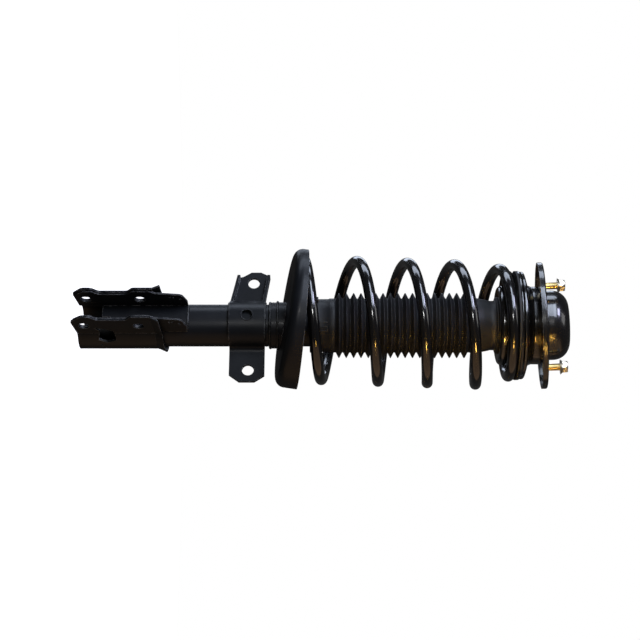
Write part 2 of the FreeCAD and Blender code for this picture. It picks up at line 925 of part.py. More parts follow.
def make_dust_boot():
    """Bellows over the rod, thin all the way, turned from its folded outline."""
    outer = [(radius.value, height.value) for radius, height in boot_profile()]
    wall = of("boot_wall").value
    inner = [(radius - wall, height) for radius, height in outer[:-2]]
    inner.append((inner[-1][0], outer[-1][1]))
    loop = [Vector(radius, 0, height) for radius, height in outer + inner[::-1]]
    face = Part.Face(Part.makePolygon(loop + loop[:1]))
    boot = doc.addObject("Part::Feature", "boot")
    boot.Shape = face.revolve(Vector(0, 0, 0), Vector(0, 0, 1), 360)
    return node(boot, "dust_boot")


# ---------------------------------------------------------------- damper


def make_strut_tube():
    """Outer tube of the damper."""
    tube = ring(
        "tube",
        of("tube_radius") - of("tube_wall"),
        of("tube_radius"),
        of("tube_bottom"),
        of("tube_top"),
    )
    return node(tube, "strut_tube")


def make_tube_end_cup():
    """Pressed cup that closes the tube's lower end."""
    outer = of("tube_radius") - of("tube_wall") - of("fit_gap")
    skin = of("end_cup_sheet")
    cup = turned(
        "end_cup",
        [
            (0, of("tube_bottom")),
            (outer, of("tube_bottom")),
            (outer, of("end_cup_top")),
            (outer - skin, of("end_cup_top")),
            (outer - skin, of("tube_bottom") + skin),
            (0, of("tube_bottom") + skin),
        ],
    )
    return node(cup, "tube_end_cup")


def make_pressure_tube():
    """Inner tube that the piston runs in."""
    bore = of("pressure_tube_bore")
    tube = ring(
        "pressure_tube",
        bore,
        bore + of("pressure_tube_wall"),
        of("pressure_tube_bottom"),
        of("pressure_tube_top"),
    )
    return node(tube, "inner_tube")


def make_base_valve():
    """Foot valve under the inner tube, with its spigot inside it."""
    spigot = of("pressure_tube_bore") - of("slip")
    valve = turned(
        "foot_valve",
        [
            (0, of("valve_bottom")),
            (of("valve_flange_radius"), of("valve_bottom")),
            (of("valve_flange_radius"), of("pressure_tube_bottom")),
            (spigot, of("pressure_tube_bottom")),
            (spigot, of("valve_top")),
            (0, of("valve_top")),
        ],
    )
    return node(valve, "base_valve")


def make_rod_guide():
    """Sintered guide at the top of both tubes, with its bushing and seal."""
    inside = of("tube_radius") - of("tube_wall") - of("slip")
    spigot = of("pressure_tube_bore") - of("slip")
    guide = turned(
        "guide",
        [
            (of("guide_bore"), of("guide_bottom")),
            (spigot, of("guide_bottom")),
            (spigot, of("guide_step")),
            (inside, of("guide_step")),
            (inside, of("guide_top")),
            (of("guide_bore"), of("guide_top")),
        ],
    )
    node(guide, "rod_guide")
    bushing = ring(
        "bushing",
        of("bushing_bore"),
        of("guide_bore") - 0.02,
        of("bushing_bottom"),
        of("bushing_top"),
    )
    node(bushing, "rod_bushing")
    seal = ring("seal", of("seal_bore"), inside, of("seal_bottom"), of("seal_top"))
    return node(seal, "rod_seal")


def make_tube_cap():
    """Cap pressed over the tube's upper end; the boot's cuff grips it."""
    cap = turned(
        "cap",
        [
            (of("tube_radius") + of("fit_gap"), of("cap_bottom")),
            (of("cap_radius"), of("cap_bottom")),
            (of("cap_radius"), of("cap_top")),
            (of("cap_bore"), of("cap_top")),
            (of("cap_bore"), of("cap_top") - of("cap_sheet")),
            (of("tube_radius") + of("fit_gap"), of("cap_top") - of("cap_sheet")),
        ],
    )
    rounded(cap, [at_radius(of("cap_radius"), of("cap_top"))], 2)
    return node(cap, "tube_cap")


def make_piston():
    """Piston with its sliding band, its nut, and the rebound stop above it."""
    tail = of("rod_tail_radius") + of("slip")
    groove = of("band_radius") - of("band_depth")
    piston = turned(
        "piston_blank",
        [
            (tail, of("piston_bottom")),
            (of("piston_radius"), of("piston_bottom")),
            (of("piston_radius"), of("band_bottom")),
            (groove, of("band_bottom")),
            (groove, of("band_top")),
            (of("piston_radius"), of("band_top")),
            (of("piston_radius"), of("piston_top")),
            (tail, of("piston_top")),
        ],
    )
    node(piston, "piston")
    band = ring("band", groove + 0.01, of("band_radius"), of("band_bottom"), of("band_top"))
    node(band, "piston_band")
    top = of("piston_nut_top")
    height = of("piston_nut_height")
    prism = hexagon("piston_nut_hex", of("piston_nut_across_flats"), top - height, height)
    bore = cylinder("piston_nut_bore", tail, top - height - 1, top + 1)
    node(less("piston_nut", prism, bore), "piston_nut")
    stop = ring(
        "rebound",
        of("rod_radius") + of("slip"),
        of("rebound_radius"),
        of("rebound_bottom"),
        of("rebound_top"),
    )
    return node(stop, "rebound_stop")


# ---------------------------------------------------------------- lower spring seat


def make_lower_seat():
    """Offset pan with a sloping floor for the spring, a nearly level rim and a neck on the tube."""
    skin = of("pan_sheet")
    floor = of("pan_floor")
    outer = of("pan_radius")
    pan = turned(
        "pan",
        [
            (0, floor - skin),
            (outer, floor - skin),
            (outer, of("pan_rim_top")),
            (outer - skin, of("pan_rim_top")),
            (outer - skin, floor),
            (0, floor),
        ],
    )
    rounded(pan, [at_radius(outer, floor - skin)], of("pan_corner"))
    rounded(pan, [at_radius(outer - skin, floor)], of("pan_corner") - skin)
    moved(pan, PAN)
    above = moved(half_space("above_rim", 0), RIM)
    neck = ring("pan_neck", 2, of("neck_radius"), of("neck_bottom"), of("neck_top"))
    tube = cylinder("seat_bore", of("tube_radius") + of("fit_gap"), -350, -240)
    seat = less("lower_seat", joined("lower_seat_whole", less("pan_trimmed", pan, above), neck), tube)
    return node(seat, "lower_spring_seat")


def make_lower_pad():
    """Rubber strip in the pan under the dead coil."""
    pad = ring(
        "lower_pad",
        of("lower_pad_inner"),
        of("lower_pad_outer"),
        of("pan_floor"),
        of("pan_floor") + of("lower_pad_sheet"),
    )
    return node(moved(pad, PAN), "lower_spring_pad")


def make_collar():
    """Collar welded to the tube under the spring seat."""
    collar = ring(
        "collar",
        of("tube_radius") + of("fit_gap"),
        of("collar_radius"),
        of("collar_bottom"),
        of("collar_top"),
    )
    rounded(collar, [at_radius(of("collar_radius"), of("collar_bottom"))], 1.2)
    return node(collar, "seat_collar")


# ---------------------------------------------------------------- ear bracket


def ear_strip():
    """The strip's section: an arc over the tube's front and a flat ear on each side."""
    body = new_body("ear_strip")
    sketch = sketch_on(body, "XY_Plane", "ear_strip_section")
    outer_r = of("tube_radius") + of("ear_sheet")
    inner_r = of("tube_radius") + of("fit_gap")
    front = of("ear_plane") - of("ear_sheet")
    back = of("ear_plane")
    reach = of("ear_reach") + 2
    outer_x = leg(outer_r, front)
    inner_x = leg(inner_r, back)
    outline(
        sketch,
        [
            (-reach, front),
            (-outer_x, front),
            (outer_x, front),
            (reach, front),
            (reach, back),
            (inner_x, back),
            (-inner_x, back),
            (-reach, back),
        ],
        {1: (0, -outer_r.value), 5: (0, -inner_r.value)},
    )
    pad = body.newObject("PartDesign::Pad", "ear_strip_pad")
    pad.Profile = sketch
    bind(pad, Length=of("ear_top") - of("ear_bottom") + 8)
    doc.recompute()
    rounded(body, [Vector(side * outer_x.value, front.value, 20) for side in (-1, 1)], of("ear_bend"))
    body.Placement = Placement(Vector(0, 0, of("ear_bottom").value), Rotation())
    return body


def make_ear_bracket():
    """Bracket with two drilled ears; the -X ear leans upwards and has stiffening flanges."""
    low, high = of("ear_bottom"), of("ear_top")
    reach = of("ear_reach")
    lean = of("ear_lean")
    middle = (low + high) / 2
    blank = plate_outline(
        "ear_blank",
        "XZ_Plane",
        [
            (33, low),
            (reach - 9, low),
            (reach, low + 12),
            (reach, high - 12),
            (reach - 8, high),
            (33, high),
            (-33, high),
            (-66, high + lean - 1.5),
            (-reach + 5, high + lean - 3),
            (-reach, high + lean - 13),
            (-reach, low + lean + 18),
            (-reach + 6, low + lean + 8),
            (-66, low + lean + 1),
            (-33, low),
        ],
        60,
    )
    ears = boolean("Common", "ears", ear_strip(), blank)
    sheet_thick = of("ear_flange_sheet")
    flanges = [
        ear_flange("ear_flange_low", low, low + lean + 1, sheet_thick),
        ear_flange("ear_flange_high", high - sheet_thick, high + lean - 1.5 - sheet_thick, sheet_thick),
    ]
    bracket = joined("ear_whole", ears, *flanges)
    pitch = of("ear_pitch").value
    radius = of("ear_hole_radius")
    axis = Vector(0, 1, 0)
    plus_spot = Vector(pitch, 0, of("ear_hole_plus").value)
    minus_spot = Vector(-pitch, 0, of("ear_hole_minus").value)
    plus = drill("ear_hole_plus", radius, 30, plus_spot, axis)
    minus = drill("ear_hole_minus", radius, 30, minus_spot, axis)
    front = Vector(0, -of("tube_radius").value, middle.value)
    window = drill("ear_window", of("ear_window_radius"), 10, front, axis)
    return node(less("ear_bracket", bracket, plus, minus, window), "ear_bracket")


def ear_flange(name, root, tip, sheet_thick):
    """A stiffening flange turned forward along one edge of the -X ear."""
    flange = plate_outline(
        name,
        "XZ_Plane",
        [(-29, root), (-66, tip), (-66, tip + sheet_thick), (-29, root + sheet_thick)],
        of("ear_flange_height") / 2,
    )
    front = of("ear_plane") - of("ear_sheet")
    forward = front - of("ear_flange_height") / 2 + 0.5
    flange.Placement = Placement(Vector(0, forward.value, 0), Rotation())
    return flange


# ---------------------------------------------------------------- knuckle bracket


def wrap_section(body, name, half_width, sheet_thick, wrap, tip, height):
    """Section of a sheet wrapped around the tube's back with two plates running forward."""
    sketch = sketch_on(body, "XY_Plane", name)
    outer_r = wrap + sheet_thick
    outer_y = leg(outer_r, half_width)
    inner_x = half_width - sheet_thick
    inner_y = leg(wrap, inner_x)
    outline(
        sketch,
        [
            (-half_width, tip),
            (-half_width, -outer_y),
            (half_width, -outer_y),
            (half_width, tip),
            (inner_x, tip),
            (inner_x, -inner_y),
            (-inner_x, -inner_y),
            (-inner_x, tip),
        ],
        {1: (0, outer_r.value), 5: (0, wrap.value)},
    )
    sketch.AttachmentOffset = Placement(Vector(0, 0, sized(height).value), Rotation())
    return sketch


def lobe_corners(tip, dip, inset):
    """Edge of a plate seen from the side: two raised bolt lobes and a dip between them."""
    low = of("bracket_bottom")
    return [
        (-48, low + inset),
        (tip, low + 11.5 + inset),
        (tip, low + 23),
        (dip, low + 31.5),
        (dip, low + 65.5),
        (tip, low + 71.5),
    ]


def round_lobes(side, tip, dip, inset):
    """Rounds the lobes and the dip of a plate's blank."""
    corners = lobe_corners(tip, dip, inset)
    places = [Vector(0, sized(y).value, sized(z).value) for y, z in corners]
    rounded(side, places[1:3], 8)
    rounded(side, places[3:5] + places[:1], 5)
    return rounded(side, places[5:], 4)


def make_knuckle_bracket():
    """Outer layer of the knuckle clamp, with a flared upper edge."""
    wrap = of("tube_radius") + of("fit_gap")
    half = of("bracket_half_width")
    sheet_thick = of("bracket_sheet")
    tip = of("plate_tip") - 3
    body = new_body("bracket_wrap")
    section = wrap_section(body, "wrap_section", half, sheet_thick, wrap, tip, of("bracket_bottom"))
    pad = body.newObject("PartDesign::Pad", "wrap_pad")
    pad.Profile = section
    bind(pad, Length=of("bracket_top") - of("bracket_bottom") + 5)
    doc.recompute()
    slope = math.tan(math.radians(of("flare_tilt").value))
    top_front = of("bracket_top") - round(slope * 88.5, 3)
    low = of("bracket_bottom") + 5
    corners = lobe_corners(of("plate_tip"), of("plate_dip"), 0)
    side = plate_outline(
        "bracket_side",
        "YZ_Plane",
        [(28.5, low), (-16, low)]
        + corners
        + [(of("plate_tip"), top_front), (28.5, of("bracket_top"))],
        40,
    )
    rounded(side, [Vector(0, 28.5, low.value)], 9)
    round_lobes(side, of("plate_tip"), of("plate_dip"), 0)
    channel = boolean("Common", "bracket_channel", body, side)
    flare = bracket_flare(half, sheet_thick, wrap)
    whole = joined("bracket_whole", channel, flare)
    window = make_window("drain_window")
    slot = drill("drain_slot", 2, 8, Vector(27, -2.6, -533), Vector(1, 0, 0))
    bracket = less("knuckle_bracket", whole, *knuckle_drills("bracket"), window, slot)
    return node(bracket, "knuckle_bracket")


def bracket_flare(half, sheet_thick, wrap):
    """The lip at the bracket's upper edge, which opens outwards and is rooted inside the sheet."""
    body = new_body("flare")
    out = of("flare_out")
    tip = of("plate_tip")
    inset = of("flare_inset")
    low = wrap_section(
        body, "flare_low", half - inset, sheet_thick - inset * 2, wrap + inset, tip + inset, 0
    )
    high = wrap_section(
        body, "flare_high", half + out, sheet_thick, wrap + out, tip + 2, of("flare_height")
    )
    loft = body.newObject("PartDesign::AdditiveLoft", "flare_loft")
    loft.Profile = low
    loft.Sections = [high]
    loft.Ruled = True
    doc.recompute()
    pivot = Vector(0, 28.5, of("bracket_top").value - of("flare_root").value)
    turn = Rotation(Vector(1, 0, 0), of("flare_tilt").value)
    body.Placement = Placement(pivot - turn.multVec(Vector(0, 28.5, 0)), turn)
    return body


def knuckle_drills(name):
    """Tools for the two knuckle bolt holes, through both plates."""
    tools = []
    for number, height in enumerate(("knuckle_hole_low", "knuckle_hole_high")):
        centre = Vector(0, of("knuckle_hole_line").value, of(height).value)
        radius = of("knuckle_hole_radius")
        tools.append(drill(f"{name}_bolt{number}", radius, 40, centre, Vector(1, 0, 0)))
    return tools


def make_window(name):
    """Tool for the drain window, through the +X side only."""
    window = plate_outline(
        name,
        "YZ_Plane",
        [(-33, -540), (-31, -529), (-25, -518), (-11, -515), (-8, -526), (-12, -536), (-24, -534)],
        20,
    )
    window.Placement = Placement(Vector(22, 0, 0), Rotation())
    return window


def make_knuckle_liner():
    """Inner layer: plates against the outer ones and a web along the tube's front."""
    body = new_body("liner_wrap")
    sketch = sketch_on(body, "XY_Plane", "liner_section")
    half = of("bracket_half_width") - of("bracket_sheet") - of("fit_gap")
    inner_x = half - of("liner_sheet")
    wrap = of("tube_radius") + of("fit_gap")
    front = wrap + of("liner_sheet")
    tip = of("liner_tip") - 3
    back_y = leg(wrap, half)
    front_y = leg(front, inner_x)
    outline(
        sketch,
        [
            (-half, tip),
            (-half, -back_y),
            (half, -back_y),
            (half, tip),
            (inner_x, tip),
            (inner_x, -front_y),
            (-inner_x, -front_y),
            (-inner_x, tip),
        ],
        {1: (0, -wrap.value), 5: (0, -front.value)},
    )
    sketch.AttachmentOffset = Placement(Vector(0, 0, of("bracket_bottom").value), Rotation())
    pad = body.newObject("PartDesign::Pad", "liner_pad")
    pad.Profile = sketch
    bind(pad, Length=150)
    doc.recompute()
    low = of("bracket_bottom")
    tip = of("liner_tip")
    dip = of("plate_dip") + 1.7
    end = of("liner_end")
    side = plate_outline(
        "liner_side",
        "YZ_Plane",
        [(-10, low + 34), (-30, low + 34), (-30, low + 6)]
        + lobe_corners(tip, dip, 1.5)
        + [
            (tip, low + 92),
            (-52.5, low + 99),
            (-48.5, end - 6),
            (-32, end),
            (-10, end),
        ],
        40,
    )
    rounded(side, [Vector(0, -48.5, end.value - 6), Vector(0, -32, end.value)], 7)
    round_lobes(side, tip, dip, 1.5)
    channel = boolean("Common", "liner_channel", body, side)
    spots = []
    for number, (across, down) in enumerate(((-43, 19.5), (-43, 16.0), (-39, 8.0))):
        centre = Vector(0, across, end.value - down)
        radius = of("locating_hole_radius")
        spots.append(drill(f"locating{number}", radius, 40, centre, Vector(1, 0, 0)))
    window = make_window("liner_window")
    liner = less("knuckle_liner", channel, *knuckle_drills("liner"), *spots, window)
    return node(liner, "knuckle_bracket_liner")


# ---------------------------------------------------------------- build, check and write


def build_all():
    """Makes every sub-part."""
    make_mount_flange()
    make_tower_studs()
    make_tower_nuts()
    make_mount_lower_cup()
    make_mount_rubber()
    make_mount_sleeve()
    make_rod_fixings()
    make_piston_rod()
    make_bump_stop()
    make_bearing()
    make_bearing_cover()
    make_upper_seat()
    make_upper_pad()
    make_coil_spring()
    make_dust_boot()
    make_strut_tube()
    make_tube_end_cup()
    make_pressure_tube()
    make_base_valve()
    make_rod_guide()
    make_tube_cap()
    make_piston()
    make_lower_seat()
    make_lower_pad()
    make_collar()
    make_ear_bracket()
    make_knuckle_bracket()
    make_knuckle_liner()


def check_document():
    """Stops if any object failed to compute or any sub-part is empty or broken."""
    for thing in doc.Objects:
        for word in ("Invalid", "Error"):
            if word in thing.State:
                raise RuntimeError(f"{thing.Name} is {thing.State}")
    for thing in nodes:
        shape = thing.Shape
        if shape.isNull() or not shape.isValid() or not shape.Solids:
            raise RuntimeError(f"{thing.Label} has no valid solid")


def write_parts():
    """Writes one STEP file for each sub-part."""
    os.makedirs("parts", exist_ok=True)
    for thing in nodes:
        thing.Shape.exportStep(f"parts/{thing.Label}.step")
        box = thing.Shape.BoundBox
        print(
            f"{thing.Label}: {len(thing.Shape.Solids)} solids, {thing.Shape.Volume / 1000:.1f} cm3,"
            f" z {box.ZMin:.1f} to {box.ZMax:.1f}"
        )


build_all()
doc.recompute()
check_document()
write_parts()
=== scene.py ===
"""Looks of a MacPherson strut assembly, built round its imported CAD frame.

Metres, in the CAD's own frame: +Z runs up the damper axis to the top mount, and -Y is the way the
knuckle clamp opens.
"""

import json
import math

import bmesh
import bpy
from mathutils import Matrix, Quaternion, Vector, noise


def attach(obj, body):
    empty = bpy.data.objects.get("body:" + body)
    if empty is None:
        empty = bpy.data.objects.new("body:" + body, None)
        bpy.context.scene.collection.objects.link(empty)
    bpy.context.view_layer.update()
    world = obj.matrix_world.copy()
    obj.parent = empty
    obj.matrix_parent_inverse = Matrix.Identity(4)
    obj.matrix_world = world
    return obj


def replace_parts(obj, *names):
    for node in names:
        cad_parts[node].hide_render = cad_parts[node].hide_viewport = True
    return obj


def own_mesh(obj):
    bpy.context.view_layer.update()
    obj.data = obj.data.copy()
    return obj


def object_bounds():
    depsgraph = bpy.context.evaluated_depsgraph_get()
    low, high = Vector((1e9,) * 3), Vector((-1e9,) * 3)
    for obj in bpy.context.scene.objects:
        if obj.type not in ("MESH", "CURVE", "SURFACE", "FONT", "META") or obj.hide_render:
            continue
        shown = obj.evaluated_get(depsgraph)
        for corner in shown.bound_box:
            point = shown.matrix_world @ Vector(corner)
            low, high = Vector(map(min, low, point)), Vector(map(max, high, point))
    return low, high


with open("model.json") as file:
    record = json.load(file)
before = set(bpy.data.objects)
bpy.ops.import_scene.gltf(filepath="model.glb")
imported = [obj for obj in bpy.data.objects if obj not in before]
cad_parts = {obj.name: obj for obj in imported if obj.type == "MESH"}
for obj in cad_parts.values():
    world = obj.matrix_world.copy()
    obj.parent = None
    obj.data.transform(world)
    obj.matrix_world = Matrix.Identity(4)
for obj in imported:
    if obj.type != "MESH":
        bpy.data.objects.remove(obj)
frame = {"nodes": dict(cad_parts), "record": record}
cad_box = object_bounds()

MM = 0.001

# ---------------------------------------------------------------- node graphs


class Graph:
    """A material's node tree, with short calls to add and join nodes."""

    def __init__(self, name):
        self.material = bpy.data.materials.new(name)
        self.material.use_nodes = True
        self.tree = self.material.node_tree
        self.shader = self.tree.nodes["Principled BSDF"]
        self.place = self.add("TexCoord").outputs["Object"]

    def feed(self, node, inputs):
        """Sets or links each named input."""
        for key, value in inputs.items():
            if isinstance(value, bpy.types.NodeSocket):
                self.tree.links.new(value, node.inputs[key])
            else:
                node.inputs[key].default_value = value

    def add(self, kind, inputs=None, **settings):
        """A new node of this kind."""
        node = self.tree.nodes.new("ShaderNode" + kind)
        for key, value in settings.items():
            setattr(node, key, value)
        self.feed(node, inputs or {})
        return node

    def noise(self, scale, detail=3.0, roughness=0.55, place=None):
        """Noise from 0 to 1, with its scale in features per metre."""
        inputs = {
            "Vector": place or self.place,
            "Scale": scale,
            "Detail": detail,
            "Roughness": roughness,
        }
        return self.add("TexNoise", inputs).outputs["Fac"]

    def spots(self, scale, size):
        """Round spots: 1 in the middle of a spot, 0 outside it."""
        cells = self.add("TexVoronoi", {"Vector": self.place, "Scale": scale})
        return self.between(cells.outputs["Distance"], size, size * 0.4, 0.0, 1.0)

    def between(self, value, low, high, to_low=0.0, to_high=1.0):
        """The value's place between low and high, clamped."""
        inputs = {
            "Value": value,
            "From Min": low,
            "From Max": high,
            "To Min": to_low,
            "To Max": to_high,
        }
        return self.add("MapRange", inputs, clamp=True).outputs["Result"]

    def math(self, operation, first, second):
        """One sum of two values."""
        return self.add("Math", {0: first, 1: second}, operation=operation).outputs[0]

    def mix(self, share, first, second):
        """Two colours mixed by share."""
        node = self.add("Mix", data_type="RGBA")
        self.feed(node, {0: share, 6: first, 7: second})
        return node.outputs[2]

    def bevel(self, radius):
        """The surface's normal with its edges rounded."""
        return self.add("Bevel", {"Radius": radius}, samples=6).outputs["Normal"]

    def edges(self, radius):
        """1 along the sharp edges, 0 away from them."""
        true_normal = self.add("NewGeometry").outputs["Normal"]
        pair = self.add("VectorMath", {0: self.bevel(radius), 1: true_normal}, operation="DOT_PRODUCT")
        return self.between(pair.outputs["Value"], 0.995, 0.86)

    def bump(self, height, distance, strength=1.0, normal=None):
        """A normal bent by a height field, with its depth in metres."""
        inputs = {"Height": height, "Distance": distance, "Strength": strength}
        if normal is not None:
            inputs["Normal"] = normal
        return self.add("Bump", inputs).outputs["Normal"]

    def finish(self, **inputs):
        """Feeds the shader and returns the material."""
        names = {key.replace("_", " "): value for key, value in inputs.items()}
        self.feed(self.shader, names)
        return self.material


def grey(value):
    """A neutral colour."""
    return (value, value, value, 1.0)


def rgb(red, green, blue):
    """A linear colour."""
    return (red, green, blue, 1.0)


# ---------------------------------------------------------------- materials


def paint(name, base, worn, rough, coat, peel, dust, specular, edge=0.0):
    """Black paint: orange peel, cloudy gloss, specks of dust and, with an edge share, sharp edges painted
    lighter grey, partly worn paint and partly a painted highlight along the edges.
    """
    g = Graph(name)
    cloudy = g.noise(26.0, 4.0)
    fine = g.noise(420.0, 2.0)
    speck = g.math("MULTIPLY", g.spots(900.0, 0.10), g.between(g.noise(60.0), 0.50, 0.68))
    colour = g.mix(g.math("MULTIPLY", g.between(cloudy, 0.4, 0.75), dust), base, worn)
    colour = g.mix(g.math("MULTIPLY", speck, dust), colour, grey(0.20))
    gloss = g.between(cloudy, 0.25, 0.8, rough[0], rough[1])
    gloss = g.math("ADD", gloss, g.math("MULTIPLY", speck, 0.2))
    soft_edge = None
    if edge:
        # Lighter grey along the sharp edges, broken up by noise: partly worn paint, partly a painted
        # highlight along the edges.
        chips = g.between(g.noise(150.0, 4.0), 0.40, 0.56)
        worn_and_highlit_edge = g.math("MULTIPLY", g.edges(0.8 * MM), chips)
        colour = g.mix(g.math("MULTIPLY", worn_and_highlit_edge, edge), colour, grey(0.30))
        soft_edge = g.bevel(0.5 * MM)
    pitted = g.bump(fine, peel, 0.6, soft_edge)
    normal = g.bump(g.noise(95.0, 1.0), peel * 2.5, 0.5, pitted)
    return g.finish(
        Base_Color=colour,
        Roughness=gloss,
        Normal=normal,
        Coat_Weight=coat,
        Coat_Roughness=0.06,
        Specular_IOR_Level=specular,
    )


def moulded_rubber(name, base, dusty, rough, grain):
    """Matte rubber with a fine grain and a dry bloom on it."""
    g = Graph(name)
    bloom = g.between(g.noise(38.0, 5.0), 0.42, 0.72)
    patch = g.between(g.noise(9.0, 2.0), 0.4, 0.7)
    colour = g.mix(g.math("MULTIPLY", bloom, patch), base, dusty)
    gloss = g.between(g.noise(70.0, 3.0), 0.3, 0.7, rough[0], rough[1])
    normal = g.bump(g.noise(1500.0, 2.0), grain, 0.5, g.bevel(0.35 * MM))
    return g.finish(Base_Color=colour, Roughness=gloss, Normal=normal, Specular_IOR_Level=0.35)


def plated(name, light, dark, rough, stain):
    """Zinc plate: a blotchy film over turned steel."""
    g = Graph(name)
    blotch = g.between(g.noise(210.0, 5.0), 0.35, 0.68)
    colour = g.mix(blotch, light, dark)
    stained = g.between(g.noise(520.0, 3.0), 0.60, 0.72, 0.0, stain)
    colour = g.mix(stained, colour, rgb(0.10, 0.075, 0.04))
    gloss = g.between(g.noise(320.0, 3.0), 0.3, 0.7, rough[0], rough[1])
    normal = g.bump(g.noise(1400.0, 3.0), 0.02 * MM, 0.6, g.bevel(0.25 * MM))
    return g.finish(Base_Color=colour, Metallic=1.0, Roughness=gloss, Normal=normal)


def turned_steel(name, colour, rough):
    """Bare steel with turning rings about Z."""
    g = Graph(name)
    squeeze = g.add("Mapping", {"Vector": g.place, "Scale": (40.0, 40.0, 2600.0)}).outputs["Vector"]
    rings = g.noise(1.0, 2.0, place=squeeze)
    tint = g.mix(g.between(g.noise(30.0, 4.0), 0.3, 0.7), colour, grey(colour[0] * 0.7))
    gloss = g.between(rings, 0.3, 0.7, rough[0], rough[1])
    normal = g.bump(rings, 0.01 * MM, 0.5, g.bevel(0.3 * MM))
    return g.finish(Base_Color=tint, Metallic=1.0, Roughness=gloss, Normal=normal)


def weld_bead(name):
    """Painted weld: ripples and spatter under the same black paint."""
    g = Graph(name)
    rough_skin = g.noise(700.0, 4.0, 0.65)
    colour = g.mix(g.between(g.noise(150.0, 3.0), 0.4, 0.7), grey(0.006), grey(0.022))
    gloss = g.between(g.noise(260.0, 3.0), 0.3, 0.7, 0.22, 0.48)
    return g.finish(Base_Color=colour, Roughness=gloss, Normal=g.bump(rough_skin, 0.25 * MM, 0.7))


def cellular_foam(name):
    """Cream microcellular foam."""
    g = Graph(name)
    cells = g.add("TexVoronoi", {"Vector": g.place, "Scale": 1500.0}).outputs["Distance"]
    colour = g.mix(g.noise(90.0, 4.0), rgb(0.62, 0.52, 0.27), rgb(0.50, 0.40, 0.19))
    return g.finish(Base_Color=colour, Roughness=0.8, Normal=g.bump(cells, 0.1 * MM, 0.6))


def pale_floor(name):
    """Plain pale studio floor with a faint mottle."""
    g = Graph(name)
    tone = g.mix(g.noise(3.0, 2.0), grey(0.90), grey(0.93))
    return g.finish(
        Base_Color=tone,
        Roughness=0.9,
        Specular_IOR_Level=0.0,
        Emission_Color=grey(1.0),
        Emission_Strength=0.92,
    )


GLOSS_BLACK = rgb(0.0030, 0.0030, 0.0034)
WORN_BLACK = rgb(0.006, 0.006, 0.006)
MATERIALS = {
    "satin_paint": paint(
        "satin_paint",
        base=rgb(0.0062, 0.0072, 0.0090),
        worn=rgb(0.011, 0.012, 0.014),
        rough=(0.36, 0.48),
        coat=0.02,
        peel=0.03 * MM,
        dust=0.5,
        specular=0.25,
        edge=0.9,
    ),
    "gloss_paint": paint(
        "gloss_paint",
        base=GLOSS_BLACK,
        worn=WORN_BLACK,
        rough=(0.16, 0.26),
        coat=0.9,
        peel=0.02 * MM,
        dust=0.3,
        specular=0.5,
        edge=0.3,
    ),
    "mount_paint": paint(
        "mount_paint",
        base=rgb(0.0035, 0.0035, 0.0040),
        worn=rgb(0.008, 0.008, 0.008),
        rough=(0.20, 0.32),
        coat=0.8,
        peel=0.03 * MM,
        dust=0.5,
        specular=0.5,
        edge=0.6,
    ),
    "rubber": moulded_rubber("rubber", grey(0.010), grey(0.028), (0.50, 0.68), 0.06 * MM),
    "boot_rubber": moulded_rubber(
        "boot_rubber", rgb(0.012, 0.0125, 0.014), grey(0.030), (0.40, 0.56), 0.05 * MM
    ),
    "plastic": moulded_rubber("plastic", grey(0.012), grey(0.020), (0.38, 0.50), 0.03 * MM),
    "foam": cellular_foam("foam"),
    "steel": turned_steel("steel", grey(0.42), (0.28, 0.45)),
    "chrome": turned_steel("chrome", grey(0.68), (0.05, 0.10)),
    "bronze": turned_steel("bronze", rgb(0.40, 0.27, 0.13), (0.30, 0.45)),
    "yellow_zinc": plated(
        "yellow_zinc", rgb(0.72, 0.56, 0.24), rgb(0.50, 0.36, 0.13), (0.26, 0.40), 0.5
    ),
    "pale_zinc": plated("pale_zinc", rgb(0.78, 0.74, 0.60), rgb(0.56, 0.52, 0.40), (0.24, 0.38), 0.3),
}
WELD = weld_bead("weld")
COIL_PAINT = paint(
    "coil_paint",
    base=GLOSS_BLACK,
    worn=WORN_BLACK,
    rough=(0.16, 0.26),
    coat=0.9,
    peel=0.015 * MM,
    dust=0.3,
    specular=0.5,
)


def dress_frame():
    """Gives every CAD node its slot's material."""
    for part in frame["record"]["subparts"]:
        shown = frame["nodes"][part["node"]]
        shown.data.materials.clear()
        shown.data.materials.append(MATERIALS[part["material_slot"]])


# ---------------------------------------------------------------- mesh building


def mesh_object(name, verts, faces, material, body):
    """A smooth-shaded piece that rides on a body."""
    mesh = bpy.data.meshes.new(name)
    mesh.from_pydata([tuple(v) for v in verts], [], faces)
    mesh.validate()
    sorter = bmesh.new()
    sorter.from_mesh(mesh)
    bmesh.ops.recalc_face_normals(sorter, faces=sorter.faces)
    sorter.to_mesh(mesh)
    sorter.free()
    mesh.polygons.foreach_set("use_smooth", [True] * len(mesh.polygons))
    piece = bpy.data.objects.new(name, mesh)
    bpy.context.scene.collection.objects.link(piece)
    mesh.materials.append(material)
    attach(piece, body)
    return piece


def lathe(profile, sides):
    """Vertices and faces of a closed profile of (radius, height) turned about Z."""
    verts, faces = [], []
    count = len(profile)
    for side in range(sides):
        angle = 2 * math.pi * side / sides
        for radius, height in profile:
            verts.append(Vector((radius * math.cos(angle), radius * math.sin(angle), height)))
    for side in range(sides):
        here, there = side * count, (side + 1) % sides * count
        for i in range(count):
            j = (i + 1) % count
            faces.append((here + i, there + i, there + j, here + j))
    return verts, faces


